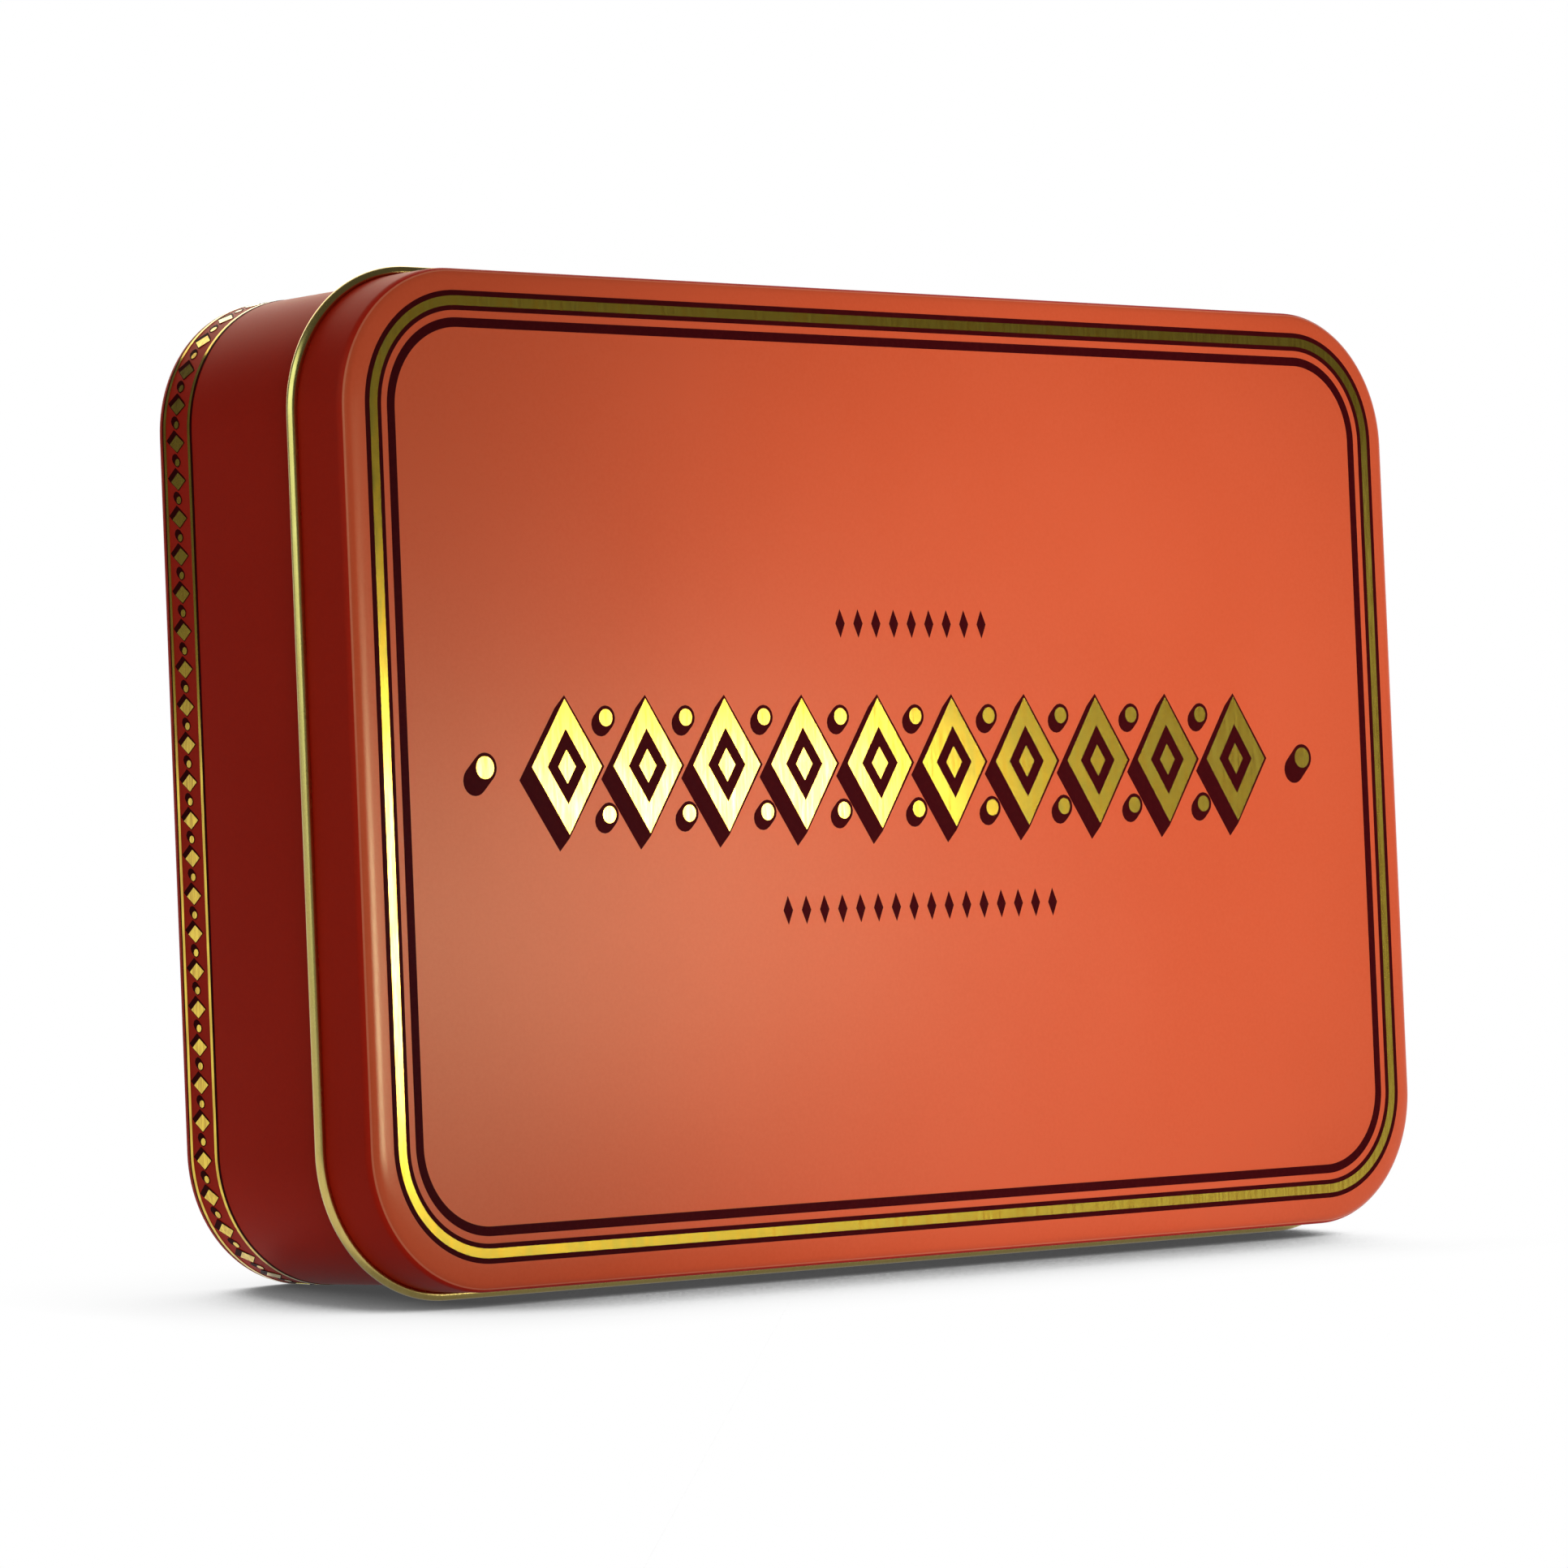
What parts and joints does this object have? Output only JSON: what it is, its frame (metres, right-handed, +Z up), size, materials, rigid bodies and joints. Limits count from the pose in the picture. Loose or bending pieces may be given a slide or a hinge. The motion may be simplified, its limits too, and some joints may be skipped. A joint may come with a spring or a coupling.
{
  "type": "firelighter tin",
  "caption": "Flat rectangular slip-lid tin with rounded corners and a rolled rim, standing on one long side, packed with wood-wool firelighters under a lid that lifts off.",
  "frame": {"origin": "middle of the tin's box, on the surface that it stands on", "axes": "+X along the long side, +Z up, the lid's face looks along -Y and leans back by 3.7 degrees"},
  "size_m": [0.1724, 0.044, 0.1182],
  "materials": {
    "lid_print": "satin orange-red print on tinplate, gold lacquer inside and on the rolled rim",
    "wall_print": "satin red print on tinplate, gold lacquer inside",
    "gold_lacquer": "gold lacquer on tinplate",
    "wood_wool": "waxed wood wool, matt"
  },
  "bodies": {
    "base": {"body_wall": "wall_print", "bottom_panel": "gold_lacquer", "firelighter_01": "wood_wool", "firelighter_02": "wood_wool", "firelighter_03": "wood_wool", "firelighter_04": "wood_wool", "firelighter_05": "wood_wool", "firelighter_06": "wood_wool", "firelighter_07": "wood_wool", "firelighter_08": "wood_wool", "firelighter_09": "wood_wool", "firelighter_10": "wood_wool", "firelighter_11": "wood_wool", "firelighter_12": "wood_wool", "firelighter_13": "wood_wool", "firelighter_14": "wood_wool", "firelighter_15": "wood_wool", "firelighter_16": "wood_wool", "firelighter_17": "wood_wool", "firelighter_18": "wood_wool", "firelighter_19": "wood_wool", "firelighter_20": "wood_wool", "firelighter_21": "wood_wool", "firelighter_22": "wood_wool", "firelighter_23": "wood_wool", "firelighter_24": "wood_wool"},
    "lid": {"lid": "lid_print"}
  },
  "joints": [
    {"name": "lid_lift", "type": "slide", "parent": "base", "child": "lid", "axis": [0, -0.9979, 0.0649], "range_m": [0, 0.08]}
  ]
}
